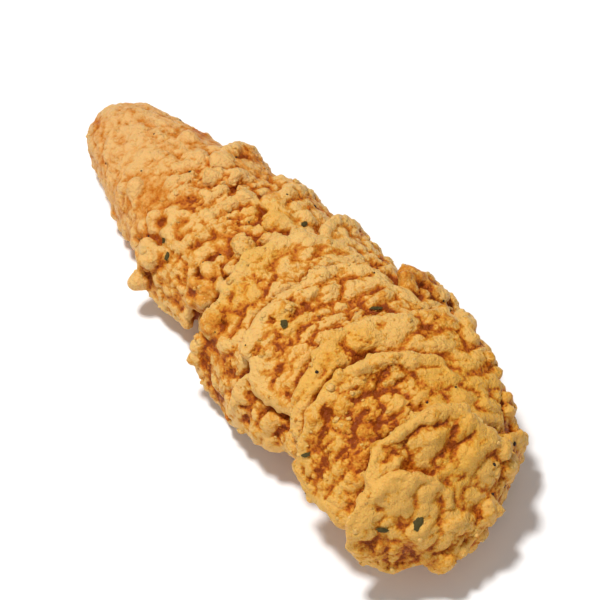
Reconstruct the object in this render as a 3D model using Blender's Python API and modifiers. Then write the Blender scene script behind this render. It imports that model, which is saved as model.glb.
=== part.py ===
"""One breaded chicken tender, lying flat: a tapered strip of meat in a craggy fried crust, as one solid.

Blender works in metres here, +Z up. X runs along the strip, from the narrow tip (-X) to the blunt end (+X).
The origin is under the middle of the tender, on the surface that it rests on.
A place on the crust is two values: how far along from the narrow tip, and how many degrees round from
the top, with +90 on the +Y side. A heading on the crust is 0 towards the tip and +90 towards +Y.
"""

import math
import random

import bmesh
import bpy
import numpy as np
from mathutils import Matrix, Quaternion, Vector, noise
from mathutils.bvhtree import BVHTree

MM = 0.001

CRUST = "chicken_tender"
CRUST_COLOUR = (0.60, 0.29, 0.09, 1.0)
CRUST_ROUGHNESS = 0.62

# The strip of meat in its thin coat, before folds and crumbs
LENGTH = 125 * MM
TIP_ROUND = 7 * MM
BLUNT_ROUND = 17 * MM
SECTION_POWER = 2.3
# Sections along the strip: share of the length from the tip, half width, thickness, sideways bow
SECTIONS = (
    (0.00, 6.0 * MM, 10 * MM, -1.8 * MM),
    (0.10, 9.6 * MM, 14 * MM, -1.4 * MM),
    (0.20, 12.6 * MM, 17 * MM, -1.2 * MM),
    (0.33, 14.8 * MM, 20 * MM, -0.8 * MM),
    (0.45, 15.4 * MM, 21 * MM, 1.4 * MM),
    (0.54, 18.2 * MM, 22 * MM, 1.2 * MM),
    (0.64, 19.8 * MM, 23.5 * MM, 2.6 * MM),
    (0.74, 18.6 * MM, 24 * MM, 4.8 * MM),
    (0.86, 18.2 * MM, 23 * MM, 3.8 * MM),
    (1.00, 12.8 * MM, 18 * MM, -1.8 * MM),
)
SECTION_BLEND = 0.03
# How far the strip sinks before its underside is cut flat
SINK = 0.3 * MM
# Steps in which a piece follows the skin from its middle to its edge
WALK_STEPS = 4
# Farther from the strip than any fold or lump stands
CRUST_REACH = 20 * MM

# Folds of batter, each a tongue whose raised, beaded lip faces its heading:
# along, around, reach, half width, height, heading
FOLDS = (
    # The stack over the top, in which each fold lies on the tail of the one before it
    (68 * MM, -8, 13 * MM, 16 * MM, 2.8 * MM, -12),
    (85 * MM, -8, 17 * MM, 17 * MM, 4.0 * MM, -12),
    (101 * MM, -6, 17 * MM, 21 * MM, 5.4 * MM, -14),
    (106 * MM, -22, 16 * MM, 17 * MM, 6.6 * MM, -28),
    (117 * MM, -6, 12 * MM, 14 * MM, 7.6 * MM, -14),
    (119 * MM, -43, 9 * MM, 8.6 * MM, 8.2 * MM, -18),
    # Flaps along the right side
    (35 * MM, 62, 7 * MM, 8 * MM, 3.6 * MM, 50),
    (52 * MM, 58, 8 * MM, 8 * MM, 4.2 * MM, 45),
    (63 * MM, 60, 8 * MM, 8 * MM, 4.8 * MM, 40),
    (82 * MM, 62, 6 * MM, 7 * MM, 4.4 * MM, 30),
    # Round discs on the left side
    (47 * MM, -82, 7 * MM, 8 * MM, 3.2 * MM, -70),
    (72 * MM, -78, 9 * MM, 10 * MM, 4.6 * MM, -75),
    (84 * MM, -74, 8 * MM, 8 * MM, 4.0 * MM, -60),
    (105 * MM, -70, 7 * MM, 7 * MM, 2.6 * MM, -40),
    # The far side and the blunt end, which lie out of view
    (40 * MM, 112, 9 * MM, 9 * MM, 3.0 * MM, 70),
    (70 * MM, 108, 11 * MM, 11 * MM, 3.4 * MM, 40),
    (98 * MM, 118, 9 * MM, 10 * MM, 2.2 * MM, 30),
    (116 * MM, 94, 8 * MM, 8 * MM, 2.4 * MM, 20),
)
BEAD_SPACING = 2.4 * MM
BEAD_RADIUS = (1.0 * MM, 1.7 * MM)
BEADED_ARC = 95

# Single lumps that stand out: along, around, radius
LUMPS = (
    (30 * MM, 70, 2.8 * MM),
    (42 * MM, 70, 3.0 * MM),
    (79 * MM, 70, 3.4 * MM),
    (117 * MM, 62, 2.8 * MM),
    (122 * MM, 52, 2.5 * MM),
    (40 * MM, -78, 3.4 * MM),
    (55 * MM, -62, 3.0 * MM),
    (77 * MM, -96, 3.6 * MM),
    (84 * MM, -94, 3.8 * MM),
    (92 * MM, -84, 3.0 * MM),
    (96 * MM, -60, 3.0 * MM),
    (101 * MM, -86, 2.8 * MM),
)

# Seeded crumbs that crowd each other over the whole crust
SEED = 11
CRUMB_DRAWS = 3200
CRUMB_RADIUS = (1.2 * MM, 2.7 * MM)
CRUMB_GAP = 0.72
# The tip has none, on the folds they are fewer and smaller, and where the tender rests only smaller
SMOOTH_TIP = 42 * MM
FOLD_SHARE = 0.15
FOLD_SIZE = 0.6
UNDERSIDE_SIZE = 0.35

# Relief of the finished skin
CRAG_HEIGHT = 0.6 * MM
COBBLE_HEIGHT = 0.5 * MM
COBBLE_SIZE = 4.5 * MM
DRIFT = 2.5 * MM
DRIFT_SIZE = 8 * MM

VOXEL = 0.6 * MM
TRIANGLES = 11600

# Points this low belong to the face that the tender rests on: those that face down, and any other
FLAT_REACH = 0.25 * MM
FLAT_EDGE = 0.02 * MM


def clear_scene():
    for obj in list(bpy.data.objects):
        bpy.data.objects.remove(obj, do_unlink=True)


def smooth(t):
    t = min(1.0, max(0.0, t))
    return t * t * (3 - 2 * t)


def mix(a, b, t):
    return a + (b - a) * t


def section_at(x):
    """Half width, thickness and bow of the strip at this X, blended from one section to the next."""
    shares = x / LENGTH + 0.5 + SECTION_BLEND * np.linspace(-1, 1, 7)
    places, *columns = zip(*SECTIONS)
    return [float(np.interp(shares, places, column).mean()) for column in columns]


def end_rounding(x):
    """1 along the middle, falling as a circle does over the last stretch at each end."""
    to_tip = (x + LENGTH / 2) / TIP_ROUND
    to_blunt = (LENGTH / 2 - x) / BLUNT_ROUND
    short = 1 - min(1.0, max(0.0, min(to_tip, to_blunt)))
    return math.sqrt(max(0.0, 1 - short * short))


def signed_power(value, power):
    return math.copysign(abs(value) ** power, value)


def strip_point(x, turn):
    """The point of the strip's skin at this X and this turn round from the top, in radians."""
    half_width, thickness, bow = section_at(x)
    size = end_rounding(x)
    y = half_width * size * signed_power(math.sin(turn), 2 / SECTION_POWER)
    z = 0.5 * thickness * size * signed_power(math.cos(turn), 2 / SECTION_POWER)
    return Vector((x, bow + y, 0.5 * thickness + z - SINK))


def skin_spot(along, around):
    return strip_point(along - LENGTH / 2, math.radians(around))


def object_from(bm, name, collection):
    mesh = bpy.data.meshes.new(name)
    bm.to_mesh(mesh)
    bm.free()
    obj = bpy.data.objects.new(name, mesh)
    collection.objects.link(obj)
    return obj


def make_strip(collection):
    """The strip of meat: a ball whose poles are the tip and the blunt end, drawn out to the sections."""
    bm = bmesh.new()
    bmesh.ops.create_icosphere(bm, subdivisions=6, radius=1)
    for vert in bm.verts:
        x = 0.5 * LENGTH * vert.co.z
        vert.co = strip_point(x, math.atan2(vert.co.y, -vert.co.x))
    return object_from(bm, CRUST, collection)


def surface_of(objects):
    """The skin of these objects, to be asked for its nearest point and the direction that it faces there."""
    bm = bmesh.new()
    for obj in objects:
        bm.from_mesh(obj.data)
    surface = BVHTree.FromBMesh(bm)
    bm.free()
    return surface


def walk(surface, spot, normal, way):
    """Follows the skin straight on from a spot, for the length of way: where that ends, and facing where."""
    for _ in range(WALK_STEPS):
        way = (way - normal * way.dot(normal)).normalized() * way.length
        spot, normal, _, _ = surface.find_nearest(spot + way / WALK_STEPS)
    return spot, normal


def lay_on(surface, spot, heading):
    """A function that lays flat coordinates on the skin: where p ahead of this spot and q to its side lies."""
    spot, normal, _, _ = surface.find_nearest(spot)
    turn = math.radians(heading)
    tipward = Vector((-1, 0, 0))
    tipward = (tipward - normal * tipward.dot(normal)).normalized()
    to_side = tipward.cross(normal)
    ahead = tipward * math.cos(turn) + to_side * math.sin(turn)
    side = ahead.cross(normal)

    def place(p, q):
        return walk(surface, spot, normal, ahead * p + side * q)

    return place


def raised(place, p, q, h):
    """The point at this height over flat coordinates on the skin."""
    foot, outward = place(p, q)
    return foot + outward * h


def add_crumb(lay, centre, radii, seed, collection):
    """A rough lump laid on the skin: centre is its place and its lift, radii its three half sizes."""
    bm = bmesh.new()
    bmesh.ops.create_icosphere(bm, subdivisions=2, radius=1)
    shift = Vector((seed * 3.7, seed * 1.3, -seed * 2.1))
    for vert in bm.verts:
        unit = vert.co.copy()
        bulge = 1 + 0.4 * noise.noise(unit * 1.3 + shift)
        vert.co = lay(*[c + u * r * bulge for c, u, r in zip(centre, unit, radii)])
    return object_from(bm, "crumb", collection)


def scallop(turn, shift):
    """How far the edge of a fold goes out at this turn, as a share of its plain ellipse."""
    circle = Vector((math.cos(turn), math.sin(turn), 0))
    return 1 + 0.16 * noise.noise(circle * 1.6 + shift) + 0.08 * noise.noise(circle * 5.0 + shift)


def fold_height(unit, height):
    """Height of a fold's skin: a thick rim along the lip with a dip behind it, sinking away at the tail."""
    lip = height * mix(0.1, 1.0, smooth(0.5 * (unit.x + 1)))
    if unit.z < 0:
        return mix(0.6 * lip, -1.5 * MM, abs(unit.z) ** 0.8)
    rise = min(1.0, unit.z / 0.35) ** 0.6
    dip = smooth((unit.z - 0.4) / 0.5)
    return lip * (mix(0.6, 1.0, rise) - 0.3 * dip)


def add_fold(place, reach, half_width, height, seed, collection):
    """A tongue of batter laid on the skin, with small lumps along its lip."""
    bm = bmesh.new()
    bmesh.ops.create_icosphere(bm, subdivisions=4, radius=1)
    shift = Vector((seed * 5.1, -seed * 2.3, seed * 0.7))
    for vert in bm.verts:
        unit = vert.co.copy()
        edge = scallop(math.atan2(unit.y, unit.x), shift)
        h = fold_height(unit, height) + 0.12 * height * noise.noise(unit * 2.5 + shift)
        vert.co = raised(place, unit.x * reach * edge, unit.y * half_width * edge, h)
    add_beads(place, reach, half_width, height, shift, seed, collection)
    return object_from(bm, "fold", collection)


def add_beads(place, reach, half_width, height, shift, seed, collection):
    """The row of small lumps that the lip of a fold breaks into."""
    draw = random.Random(seed)
    lip_length = math.radians(2 * BEADED_ARC) * 0.5 * (reach + half_width)
    beads = int(lip_length / BEAD_SPACING)
    for i in range(beads):
        share = (i + draw.uniform(0.2, 0.8)) / beads
        turn = math.radians(mix(-BEADED_ARC, BEADED_ARC, share))
        edge = scallop(turn, shift) * draw.uniform(0.88, 1.0)
        lip = height * smooth(0.5 * (math.cos(turn) + 1))
        foot, outward = place(reach * edge * math.cos(turn), half_width * edge * math.sin(turn))
        radius = mix(*BEAD_RADIUS, draw.random() ** 1.5)
        radii = (radius, radius * draw.uniform(0.9, 1.5), radius * draw.uniform(0.7, 1.0))
        lay = stand_on(foot, outward, draw.uniform(-math.pi, math.pi))
        add_crumb(lay, (0, 0, 0.75 * lip), radii, 40 * seed + i, collection)


def on_a_fold(spot):
    """True over the upper face of a fold, which is smoother than the crust around it."""
    for along, around, reach, half_width, _, _ in FOLDS:
        if (spot - skin_spot(along, around)).length < min(reach, half_width):
            return True
    return False


def stand_on(spot, normal, heading):
    """A function that sets flat coordinates out from a spot that faces along this normal."""
    ahead = normal.orthogonal().normalized()
    ahead.rotate(Quaternion(normal, heading))
    side = ahead.cross(normal)
    return lambda p, q, h: spot + ahead * p + side * q + normal * h


def scatter_crumbs(strip, folds, collection):
    """Seeded crumbs all round the strip and on its folds, none closer to another than their radii allow."""
    draw = random.Random(SEED)
    crust = surface_of([strip, *folds])
    faces = list(strip.data.polygons)
    areas = [face.area for face in faces]
    placed = []
    for face in draw.choices(faces, areas, k=CRUMB_DRAWS):
        normal = face.normal.copy()
        spot = crust.ray_cast(face.center + normal * CRUST_REACH, -normal)[0]
        folded = on_a_fold(face.center)
        chance = smooth((spot.x + LENGTH / 2) / SMOOTH_TIP - 0.4) * (FOLD_SHARE if folded else 1.0)
        radius = mix(*CRUMB_RADIUS, draw.random() ** 1.5) * (FOLD_SIZE if folded else 1.0)
        radius *= mix(1.0, UNDERSIDE_SIZE, smooth(-normal.z))
        heading = draw.uniform(-math.pi, math.pi)
        radii = [radius * draw.uniform(low, high) for low, high in ((0.9, 1.4), (0.8, 1.1), (0.8, 1.1))]
        if draw.random() > chance:
            continue
        if any((spot - other).length < CRUMB_GAP * (radius + size) for other, size in placed):
            continue
        placed.append((spot, radius))
        lay = stand_on(spot, normal, heading)
        add_crumb(lay, (0, 0, 0.2 * radius), radii, 1000 + len(placed), collection)


def apply_modifiers(obj):
    graph = bpy.context.evaluated_depsgraph_get()
    made = bpy.data.meshes.new_from_object(obj.evaluated_get(graph))
    obj.modifiers.clear()
    obj.data = made


def fuse(obj, pieces):
    """Joins every piece of the crust to the strip in one union, then removes the pieces."""
    union = obj.modifiers.new("fuse_crust", "BOOLEAN")
    union.operation = "UNION"
    union.solver = "MANIFOLD"
    union.operand_type = "COLLECTION"
    union.collection = pieces
    apply_modifiers(obj)
    for piece in list(pieces.objects):
        bpy.data.objects.remove(piece, do_unlink=True)
    bpy.data.collections.remove(pieces)


def remesh(obj):
    """An even skin over the whole crust."""
    skin = obj.modifiers.new("even_skin", "REMESH")
    skin.mode = "VOXEL"
    skin.voxel_size = VOXEL
    apply_modifiers(obj)


def bodies_of(bm):
    """The mesh's faces, as one list for each separate body, with the largest last."""
    unseen = set(bm.faces)
    bodies = []
    while unseen:
        stack = [unseen.pop()]
        body = []
        while stack:
            face = stack.pop()
            body.append(face)
            near = {other for edge in face.edges for other in edge.link_faces if other in unseen}
            unseen -= near
            stack.extend(near)
        bodies.append(body)
    return sorted(bodies, key=len)


def keep_largest_body(obj):
    """Drops loose scraps and edges, and fills any hollow that fusing sealed."""
    bm = bmesh.new()
    bm.from_mesh(obj.data)
    scraps = [face for body in bodies_of(bm)[:-1] for face in body]
    bmesh.ops.delete(bm, geom=scraps, context="FACES")
    loose = [edge for edge in bm.edges if edge.is_wire]
    bmesh.ops.delete(bm, geom=loose, context="EDGES")
    bm.to_mesh(obj.data)
    bm.free()


def wander(co):
    """A smooth sideways drift, which keeps the cobbles from looking like cells."""
    co = co / DRIFT_SIZE
    return Vector([noise.noise(co + Vector((17 * axis, 0, 0))) for axis in range(3)]) * DRIFT


def cobble(co):
    """A height from 0 to 1 for round lumps that touch each other, with creases where they meet."""
    nearest = noise.voronoi((co + wander(co)) / COBBLE_SIZE)[0][0]
    return math.sqrt(max(0.0, 1 - nearest * nearest))


def roughen(obj):
    """Crags and cobbles of crust, low on the smooth tip."""
    mesh = obj.data
    moved = []
    for vert in mesh.vertices:
        co = vert.co
        rough = mix(0.4, 1.0, smooth((co.x + LENGTH / 2) / SMOOTH_TIP - 0.3))
        crag = noise.fractal(co / (6 * MM), 0.9, 2.1, 3)
        height = CRAG_HEIGHT * crag + COBBLE_HEIGHT * (cobble(co) - 0.6)
        moved.append(co + vert.normal * rough * height)
    for vert, co in zip(mesh.vertices, moved):
        vert.co = co
    mesh.update()


def thin_out(obj):
    thin = obj.modifiers.new("fewer_faces", "DECIMATE")
    thin.ratio = TRIANGLES / sum(len(face.vertices) - 2 for face in obj.data.polygons)
    apply_modifiers(obj)


def cut_flat(obj, collection):
    """Cuts the underside off at the surface that the tender rests on."""
    bm = bmesh.new()
    bmesh.ops.create_cube(bm, size=1)
    depth = 20 * MM
    bmesh.ops.scale(bm, verts=bm.verts, vec=(2 * LENGTH, LENGTH, depth))
    bmesh.ops.translate(bm, verts=bm.verts, vec=(0, 0, -0.5 * depth))
    cutter = object_from(bm, "rest_cutter", collection)
    cut = obj.modifiers.new("cut_flat", "BOOLEAN")
    cut.operation = "DIFFERENCE"
    cut.object = cutter
    apply_modifiers(obj)
    bpy.data.objects.remove(cutter, do_unlink=True)


def press_flat(obj):
    """Evens out the face that the tender rests on, after thinning has moved its points a little."""
    for vert in obj.data.vertices:
        faces_down = vert.normal.z < -0.5
        if vert.co.z < (FLAT_REACH if faces_down else FLAT_EDGE):
            vert.co.z = 0
    obj.data.update()


def centre_on_origin(obj):
    """Puts the middle of the tender's box over the origin."""
    low = [min(vert.co[axis] for vert in obj.data.vertices) for axis in range(2)]
    high = [max(vert.co[axis] for vert in obj.data.vertices) for axis in range(2)]
    middle = [0.5 * (a + b) for a, b in zip(low, high)]
    obj.data.transform(Matrix.Translation((-middle[0], -middle[1], 0)))


def crust_material():
    material = bpy.data.materials.new("fried_crust")
    material.use_nodes = True
    shader = material.node_tree.nodes["Principled BSDF"]
    shader.inputs["Base Color"].default_value = CRUST_COLOUR
    shader.inputs["Roughness"].default_value = CRUST_ROUGHNESS
    shader.inputs["Metallic"].default_value = 0.0
    return material


def main():
    clear_scene()
    scene = bpy.context.scene.collection
    model = bpy.data.collections.new(CRUST)
    pieces = bpy.data.collections.new("crust_pieces")
    cutters = bpy.data.collections.new("cutters")
    for collection in (model, pieces, cutters):
        scene.children.link(collection)

    tender = make_strip(model)
    surface = surface_of([tender])
    folds = []
    for seed, (along, around, reach, half_width, height, heading) in enumerate(FOLDS):
        place = lay_on(surface, skin_spot(along, around), heading)
        folds.append(add_fold(place, reach, half_width, height, seed, pieces))
    for seed, (along, around, radius) in enumerate(LUMPS):
        spot, normal, _, _ = surface.find_nearest(skin_spot(along, around))
        lay = stand_on(spot, normal, seed)
        add_crumb(lay, (0, 0, 0.3 * radius), (1.2 * radius, radius, 0.8 * radius), 900 + seed, pieces)
    scatter_crumbs(tender, folds, pieces)

    fuse(tender, pieces)
    remesh(tender)
    roughen(tender)
    remesh(tender)
    cut_flat(tender, cutters)
    thin_out(tender)
    keep_largest_body(tender)
    press_flat(tender)
    centre_on_origin(tender)
    tender.data.shade_smooth()
    tender.data.materials.clear()
    tender.data.materials.append(crust_material())


main()
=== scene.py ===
"""The looks of one breaded chicken tender: its craggy fried crust, with crumbs, herb flakes and pepper in it.

Metres, +Z up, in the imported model's frame: X runs along the strip from its narrow tip to its blunt end.
A place on the crust is two values: how far along from the narrow tip, and how many degrees round from
the top, with +90 on the +Y side. A heading on the crust is 0 towards the tip and +90 towards +Y.
"""

import math
import random

import bmesh
import bpy
import numpy as np
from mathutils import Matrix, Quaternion, Vector, noise
from mathutils.bvhtree import BVHTree


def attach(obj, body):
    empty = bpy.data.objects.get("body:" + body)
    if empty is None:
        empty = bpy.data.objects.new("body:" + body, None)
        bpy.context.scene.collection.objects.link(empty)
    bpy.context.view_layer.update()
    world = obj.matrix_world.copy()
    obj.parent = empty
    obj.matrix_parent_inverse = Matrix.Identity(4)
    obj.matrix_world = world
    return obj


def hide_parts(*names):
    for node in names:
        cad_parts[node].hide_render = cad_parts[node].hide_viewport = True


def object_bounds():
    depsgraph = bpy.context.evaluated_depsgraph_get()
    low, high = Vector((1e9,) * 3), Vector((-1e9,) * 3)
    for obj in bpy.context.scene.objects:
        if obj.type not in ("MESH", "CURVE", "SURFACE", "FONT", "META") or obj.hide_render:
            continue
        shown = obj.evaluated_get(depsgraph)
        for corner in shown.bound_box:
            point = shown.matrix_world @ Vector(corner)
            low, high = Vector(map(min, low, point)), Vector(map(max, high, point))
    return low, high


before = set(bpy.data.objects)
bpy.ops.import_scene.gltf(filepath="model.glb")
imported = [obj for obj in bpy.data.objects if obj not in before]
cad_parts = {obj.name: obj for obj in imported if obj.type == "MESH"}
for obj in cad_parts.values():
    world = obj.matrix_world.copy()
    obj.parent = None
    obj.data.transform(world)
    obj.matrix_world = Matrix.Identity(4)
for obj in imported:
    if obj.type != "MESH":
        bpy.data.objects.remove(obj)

CAD_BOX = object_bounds()
NODE = "chicken_tender"
BODY = "root"
MM = 0.001

# The strip of meat in its thin coat, before folds and crumbs
LENGTH = 125 * MM
TIP_ROUND = 7 * MM
BLUNT_ROUND = 17 * MM
SECTION_POWER = 2.3
# Sections along the strip: share of the length from the tip, half width, thickness, sideways bow
SECTIONS = (
    (0.00, 6.0 * MM, 10 * MM, -1.8 * MM),
    (0.10, 9.6 * MM, 14 * MM, -1.4 * MM),
    (0.20, 12.6 * MM, 17 * MM, -1.2 * MM),
    (0.33, 14.8 * MM, 20 * MM, -0.8 * MM),
    (0.45, 15.4 * MM, 21 * MM, 1.4 * MM),
    (0.54, 18.2 * MM, 22 * MM, 1.2 * MM),
    (0.64, 19.8 * MM, 23.5 * MM, 2.6 * MM),
    (0.74, 18.6 * MM, 24 * MM, 4.8 * MM),
    (0.86, 18.2 * MM, 23 * MM, 3.8 * MM),
    (1.00, 12.8 * MM, 18 * MM, -1.8 * MM),
)
# Each is blended with those beside it: the share of the length to both sides, and the samples in it
SECTION_BLEND = 0.03
SECTION_SAMPLES = 7
# Stations at which they are kept, up to this share of the length from the middle
STATION_REACH = 0.6
STATION_COUNT = 121
# How far the strip's underside lies below the floor, before it is pressed flat
SINK = 0.3 * MM
# Steps in which a fold is laid over the skin, and how far off the rays that look for the crust start
WALK_STEPS = 4
CRUST_REACH = 20 * MM

# Balls that the shapes are drawn from, by how often their faces are divided
SPECK_BALL = 1
CRUMB_BALL = 2
LUMP_BALL = 3
FOLD_BALL = 5
STRIP_BALL = 6

# Folds of batter, each a tongue whose raised, beaded lip faces its heading:
# along, around, reach, half width, height, heading
FOLDS = (
    # The stack over the top, in which each fold lies on the tail of the one before it
    (68 * MM, -8, 13 * MM, 16 * MM, 2.8 * MM, -12),
    (85 * MM, -8, 17 * MM, 17 * MM, 4.0 * MM, -12),
    (101 * MM, -6, 17 * MM, 21 * MM, 5.4 * MM, -14),
    (106 * MM, -22, 16 * MM, 17 * MM, 6.6 * MM, -28),
    (117 * MM, -6, 12 * MM, 14 * MM, 7.6 * MM, -14),
    (119 * MM, -43, 9 * MM, 8.6 * MM, 8.2 * MM, -18),
    # Flaps along the right side
    (35 * MM, 62, 7 * MM, 8 * MM, 3.6 * MM, 50),
    (52 * MM, 58, 8 * MM, 8 * MM, 4.2 * MM, 45),
    (63 * MM, 60, 8 * MM, 8 * MM, 4.8 * MM, 40),
    (82 * MM, 62, 6 * MM, 7 * MM, 4.4 * MM, 30),
    # Round discs on the left side
    (47 * MM, -82, 7 * MM, 8 * MM, 3.2 * MM, -70),
    (72 * MM, -78, 9 * MM, 10 * MM, 4.6 * MM, -75),
    (84 * MM, -74, 8 * MM, 8 * MM, 4.0 * MM, -60),
    (105 * MM, -70, 7 * MM, 7 * MM, 2.6 * MM, -40),
    # The far side and the blunt end, which lie out of view
    (40 * MM, 112, 9 * MM, 9 * MM, 3.0 * MM, 70),
    (70 * MM, 108, 11 * MM, 11 * MM, 3.4 * MM, 40),
    (98 * MM, 118, 9 * MM, 10 * MM, 2.2 * MM, 30),
    (116 * MM, 94, 8 * MM, 8 * MM, 2.4 * MM, 20),
)
# Waves in the edge of a fold: depth and fineness of each
SCALLOPS = ((0.16, 1.6), (0.08, 5.0))
# Waves over a fold's skin: share of its height, and fineness
FOLD_WAVE_SHARE = 0.12
FOLD_WAVES = 2.5
# Shares of a fold's height: at its tail, at the foot of its rim, and lost in the dip behind the rim
TAIL_SHARE = 0.1
RIM_FOOT = 0.6
DIP_SHARE = 0.3
# Where the rim ends and the dip is, by height on the ball of radius 1 that a fold is drawn from
RIM_TOP = 0.35
RIM_POWER = 0.6
DIP_FROM = 0.4
DIP_SPAN = 0.5
# How deep a fold is rooted in the strip
ROOT_DEPTH = 1.5 * MM
ROOT_POWER = 0.8
# Which faces are marked as the upper face and as the lip, by height on that ball and by nearness to the tail
RIM_LEVEL = 0.25
UPPER_SPAN = 0.3
LIP_SPREAD = 0.35
LIP_TAIL = 0.6

# Single lumps that stand out: along, around, radius
LUMPS = (
    (30 * MM, 70, 2.8 * MM),
    (42 * MM, 70, 3.0 * MM),
    (79 * MM, 70, 3.4 * MM),
    (117 * MM, 62, 2.8 * MM),
    (122 * MM, 52, 2.5 * MM),
    (40 * MM, -74, 2.9 * MM),
    (55 * MM, -62, 3.0 * MM),
    (77 * MM, -96, 3.6 * MM),
    (84 * MM, -94, 3.8 * MM),
    (92 * MM, -84, 3.0 * MM),
    (96 * MM, -60, 3.0 * MM),
    (101 * MM, -86, 2.8 * MM),
)
# A lump's three half sizes and lift, and the buds grown over it, as shares of its radius
KNOB_SHAPE = (1.15, 1.0, 0.75)
KNOB_LIFT = 0.2
KNOB_BUDS = 9
BUD_OUT = (0.2, 1.0)
BUD_FOOT = 0.15
BUD_DOME = 0.7
BUD_RADIUS = (0.3, 0.5)

# Small crumbs along the lip of each fold, up to this many degrees from its heading
BEADED_ARC = 100
BEAD_SPACING = 1.6 * MM
BEAD_RADIUS = (0.55 * MM, 1.15 * MM)
BEAD_SIZE_POWER = 1.5
BEAD_WIDTH = (0.9, 1.6)
BEAD_HEIGHT = (0.7, 1.0)
# Where each lies: along its stretch of the lip, out towards the edge, and up the lip
BEAD_PLACE = (0.1, 0.9)
BEAD_EDGE = (0.86, 1.0)
BEAD_LIFT = (0.6, 0.9)

# Seeded lumps that crowd each other on the flanks and lie low along the top
SEED = 11
CRUMB_DRAWS = 4200
CRUMB_RADIUS = (1.2 * MM, 2.6 * MM)
CRUMB_SIZE_POWER = 1.8
CRUMB_SPREADS = ((0.9, 1.4), (0.8, 1.1), (0.8, 1.1))
CRUMB_LIFT = (-0.5, 0.1)
CRUMB_GAP = 0.74
# They begin at this share of this length from the tip, and reach their full number over it
TIP_START = 0.35
SMOOTH_TIP = 42 * MM
# Degrees from the top at which the flanks begin, and over which they become whole
FLANK_FROM = 24
FLANK_SPAN = 22
# Along the top: share of the crumbs, size and lift
TOP_SHARE = 0.75
TOP_SIZE = 1.3
TOP_LIFT = -0.45
# On a fold: share of the crumbs, size, and how far the lift is from the top's to the flanks'
FOLD_SHARE = 0.07
FOLD_SIZE = 0.7
FOLD_LIFT = 0.2
UNDERSIDE_SIZE = 0.5

# How uneven a crumb is, the fineness of its waves and ripples, and the ripples' share
UNEVENNESS = 0.3
CRUMB_WAVES = 1.3
CRUMB_RIPPLES = 3.4
RIPPLE_SHARE = 0.6

# The first seed of each kind of piece, and the step in seeds from one fold or lump to the next
HERB_SEED = 7
SPECK_SEED = 60
KNOB_SEED = 900
CRUMB_SEED = 1000
SEED_STRIDE = 40
# How far a seed moves the noise that shapes a crumb or a fold
CRUMB_STEPS = (3.7, 1.3, -2.1)
FOLD_STEPS = (5.1, -2.3, 0.7)

# Packed beads in clusters on the flanks, coarse in some places and fine in others:
# height, size and drift of their cells
COARSE_BEADS = (1.2 * MM, 2.6 * MM, 1.9 * MM)
FINE_BEADS = (0.8 * MM, 1.5 * MM, 1.2 * MM)
DRIFT_SIZE = 2.2
DRIFT_STEP = 17
DOME_REACH = 1.05
SEAM_WIDTH = 0.22
# The height of a bead that counts as no relief
BEAD_LEVEL = 0.6
# Clusters: their size, how sharp the change from fine to coarse is, and where their own noise is read
CLUSTER_SIZE = 8 * MM
CLUSTER_EDGE = 1.8
CLUSTER_SHIFT = Vector((5, 5, 5))
# Beads begin this many degrees from the top and are whole this many further on, less so on folds
BEADED_FROM = 20
BEADED_SPAN = 25
BEADED_BASE = 0.2
BEADED_UPPER = 0.6
BEADED_CLUSTERS = 0.8
# Puffy lumps of many sizes everywhere else, each octave of them about half the size of the one before
PUFF_HEIGHT = 2.6 * MM
PUFF_SIZE = 5.0 * MM
PUFF_OCTAVES = 4
PUFF_SHRINK = 2.1
OCTAVE_STEP = 9
PUFF_POWER = 0.75
PUFF_STRETCH = (1.35, 0.85, 1.0)
PUFF_CREASE = 0.05
# Share of its height that an octave passes on to the next, and the level that counts as no relief
PUFF_KEEP = 0.62
PUFF_LEVEL = 0.4
# The same on calm crust
CALM_KEEP = 0.4
CALM_LEVEL = 0.3
# The soft tip, without beads: whole up to half this length, and gone at one and a half
SOFT_TIP = 22 * MM
TIP_REACH = 1.5
# Share of the relief that the tip, calm crust and lips keep
TIP_RELIEF = 0.38
CALM_RELIEF = 0.62
LIP_RELIEF = 0.6
# Rounds of averaging over the mesh: of its points, their directions and the folds' marks
SKIN_ROUNDS = 1
NORMAL_ROUNDS = 10
CARVED_MARK_ROUNDS = 3
CRUST_MARK_ROUNDS = 4
# The cut that deepens valleys: the rounds that tell them, where it begins and is whole in millimetres
# of hollow, and its depth
VALLEY_ROUNDS = 60
VALLEY_FROM = 0.15
VALLEY_SPAN = 0.6
VALLEY_CUT = 1.0 * MM

# The crust's mesh: cell of the remesh, and triangles that are kept
VOXEL = 0.41 * MM
CRUST_TRIANGLES = 197000

# Loose grains of crust, fine and coarse, each kind as: seed, draws, radius from and to, ball
GRAINS = (
    (37, 6000, 0.25 * MM, 0.5 * MM, SPECK_BALL),
    (38, 900, 0.5 * MM, 0.85 * MM, CRUMB_BALL),
)
GRAIN_SIZE_POWER = 1.5
GRAIN_SPREADS = ((0.8, 1.4), (0.8, 1.1), (0.6, 1.0))
GRAIN_LIFT = (-0.5, 0.05)
GRAIN_GAP = 0.8
GRAIN_UNEVENNESS = 0.45
# Their colour: share of the depth of the crust under each, with its painted shade in creases, and a seeded
# tone
GRAIN_DEPTH = 0.8
GRAIN_TONE = (-0.1, 0.15)
# Their clusters, and the height up to which there are none
GRAIN_CLUSTER = 6 * MM
CROWD_BASE = 0.55
CROWD_EDGE = 1.6
GRAIN_FLOOR = 1.5 * MM
# What is left of them on calm crust, at the tip and on peaks, how soon each counts, and more on lips
CALM_GRAINS = 0.05
CALM_EDGE = 1.4
TIP_GRAINS = 0.1
TIP_EDGE = 2
PEAK_GRAINS = 0.4
CREASE_EDGE = 1.5
LIP_GRAINS = 0.2

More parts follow.
